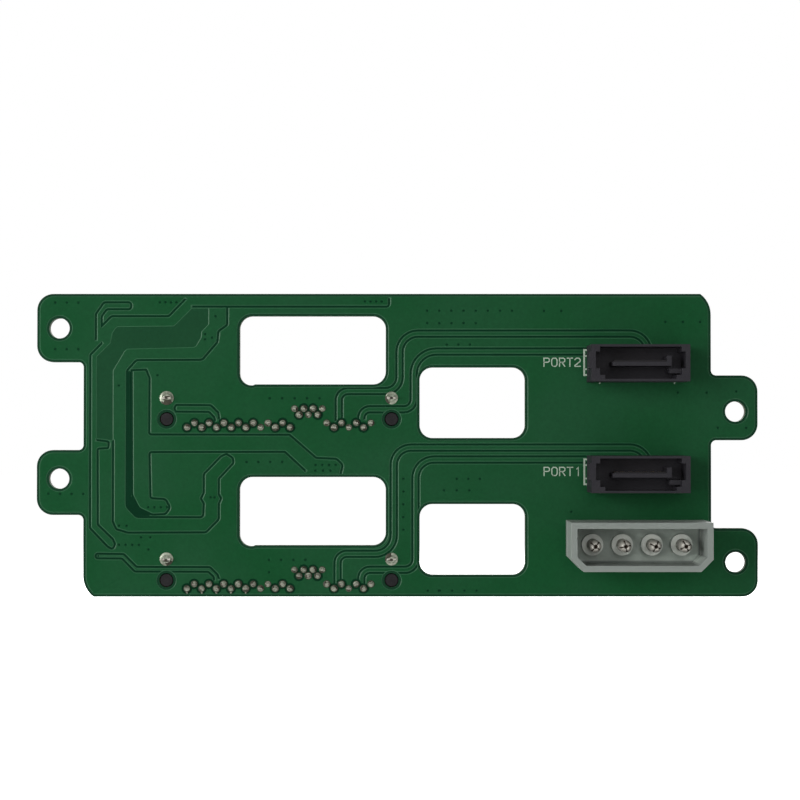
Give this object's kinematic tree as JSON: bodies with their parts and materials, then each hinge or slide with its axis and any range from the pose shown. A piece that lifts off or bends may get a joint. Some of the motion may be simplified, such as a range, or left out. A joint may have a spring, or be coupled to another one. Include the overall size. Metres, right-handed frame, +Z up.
{
  "type": "drive backplane board",
  "caption": "Green circuit board with screw ears and air cut-outs that joins stacked hard drives to data and power cables.",
  "frame": {"origin": "centre of the board's outline, midway between the two outermost screw holes, on the drive-side face", "axes": "+X right along the board's length and +Z up, as seen from the header side; +Y out of the drive-side face, towards the drives; the header side faces -Y"},
  "size_m": [0.1244, 0.0226, 0.0522],
  "materials": {
    "green_laminate": "green solder mask over glass-epoxy laminate",
    "black_nylon": "moulded black nylon, fine matte",
    "natural_nylon": "unpigmented, slightly translucent nylon",
    "contact_metal": "gold-plated copper alloy",
    "tinned_pin": "tin-plated brass",
    "tinned_lock": "tin-plated copper alloy",
    "solder": "reflowed solder, satin to bright"
  },
  "bodies": {
    "root": {"board": "green_laminate", "upper_receptacle_housing": "black_nylon", "upper_receptacle_power_contacts": "contact_metal", "upper_receptacle_signal_contacts": "contact_metal", "upper_receptacle_second_port_contacts": "contact_metal", "upper_receptacle_lock_left": "tinned_lock", "upper_receptacle_lock_right": "tinned_lock", "upper_receptacle_solder": "solder", "lower_receptacle_housing": "black_nylon", "lower_receptacle_power_contacts": "contact_metal", "lower_receptacle_signal_contacts": "contact_metal", "lower_receptacle_second_port_contacts": "contact_metal", "lower_receptacle_lock_left": "tinned_lock", "lower_receptacle_lock_right": "tinned_lock", "lower_receptacle_solder": "solder", "upper_data_housing": "black_nylon", "upper_data_contact_1": "contact_metal", "upper_data_contact_2": "contact_metal", "upper_data_contact_3": "contact_metal", "upper_data_contact_4": "contact_metal", "upper_data_contact_5": "contact_metal", "upper_data_contact_6": "contact_metal", "upper_data_contact_7": "contact_metal", "upper_data_lock_left": "tinned_lock", "upper_data_lock_right": "tinned_lock", "upper_data_solder": "solder", "lower_data_housing": "black_nylon", "lower_data_contact_1": "contact_metal", "lower_data_contact_2": "contact_metal", "lower_data_contact_3": "contact_metal", "lower_data_contact_4": "contact_metal", "lower_data_contact_5": "contact_metal", "lower_data_contact_6": "contact_metal", "lower_data_contact_7": "contact_metal", "lower_data_lock_left": "tinned_lock", "lower_data_lock_right": "tinned_lock", "lower_data_solder": "solder", "power_housing": "natural_nylon", "power_pin_1": "tinned_pin", "power_pin_2": "tinned_pin", "power_pin_3": "tinned_pin", "power_pin_4": "tinned_pin", "power_solder": "solder"}
  },
  "joints": []
}
